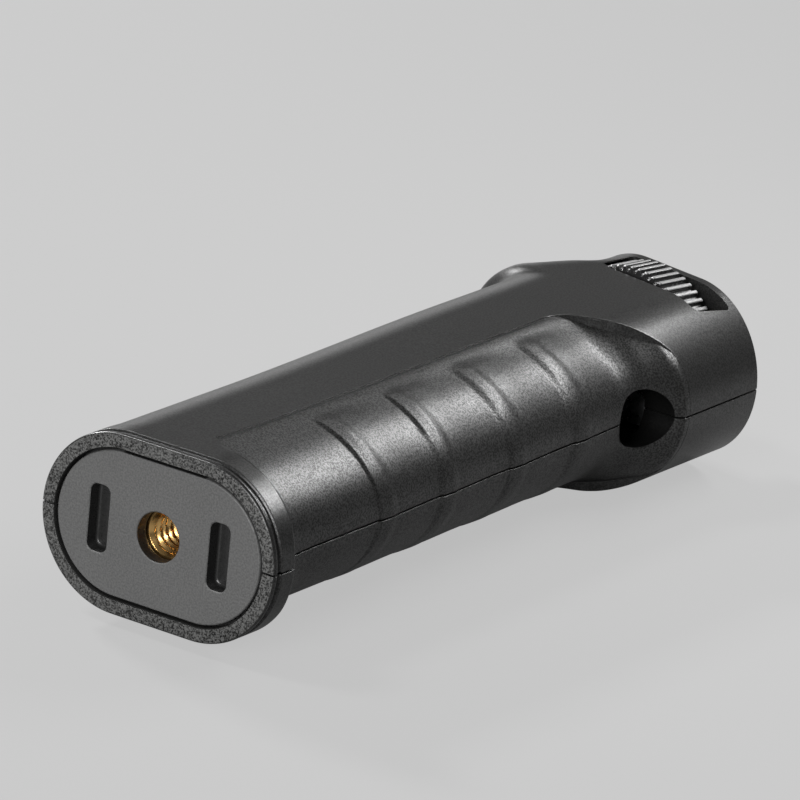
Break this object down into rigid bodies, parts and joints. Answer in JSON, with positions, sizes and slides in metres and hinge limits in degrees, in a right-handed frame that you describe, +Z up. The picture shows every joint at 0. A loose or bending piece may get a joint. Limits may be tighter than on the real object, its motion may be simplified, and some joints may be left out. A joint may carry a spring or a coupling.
{
  "type": "flash grip",
  "caption": "Moulded hand grip with finger ridges, a slotted base plate with a threaded insert, a cross hole for a shaft, and a tilted head whose ribbed thumbwheel turns a clamping bolt.",
  "frame": {"origin": "under the middle of the grip as it lies on its left side, on the surface that it lies on", "axes": "+X to the finger side, +Y from the base end to the head, +Z up from the parting plane of the shells"},
  "size_m": [0.047, 0.138, 0.0303],
  "materials": {
    "shell": "satin sides, coarse grain where the fingers rest",
    "plate": "fine texture",
    "wheel": "smooth ribs",
    "brass": "turned",
    "steel": "plated",
    "nylon": "smooth",
    "rubber": "matte"
  },
  "bodies": {
    "grip": {"right_shell": "shell", "left_shell": "shell", "base_plate": "plate", "base_insert": "brass", "insert_backplate": "steel", "insert_screw_1": "steel", "insert_screw_2": "steel", "shaft_spring": "steel", "housing_screw_1": "steel", "housing_screw_2": "steel", "housing_screw_3": "steel", "housing_screw_4": "steel", "housing_screw_5": "steel", "thrust_washer_upper": "nylon", "thrust_washer_lower": "nylon", "wave_washer": "steel", "bolt_bush": "brass", "top_pad": "rubber"},
    "wheel": {"thumbwheel": "wheel", "clamp_bolt": "steel"}
  },
  "joints": [
    {"name": "wheel_spin", "type": "hinge", "parent": "grip", "child": "wheel", "pos_m": [0.00399, 0.06148, 0.01515], "axis": [0.2079, 0.9781, 0], "continuous": true}
  ]
}
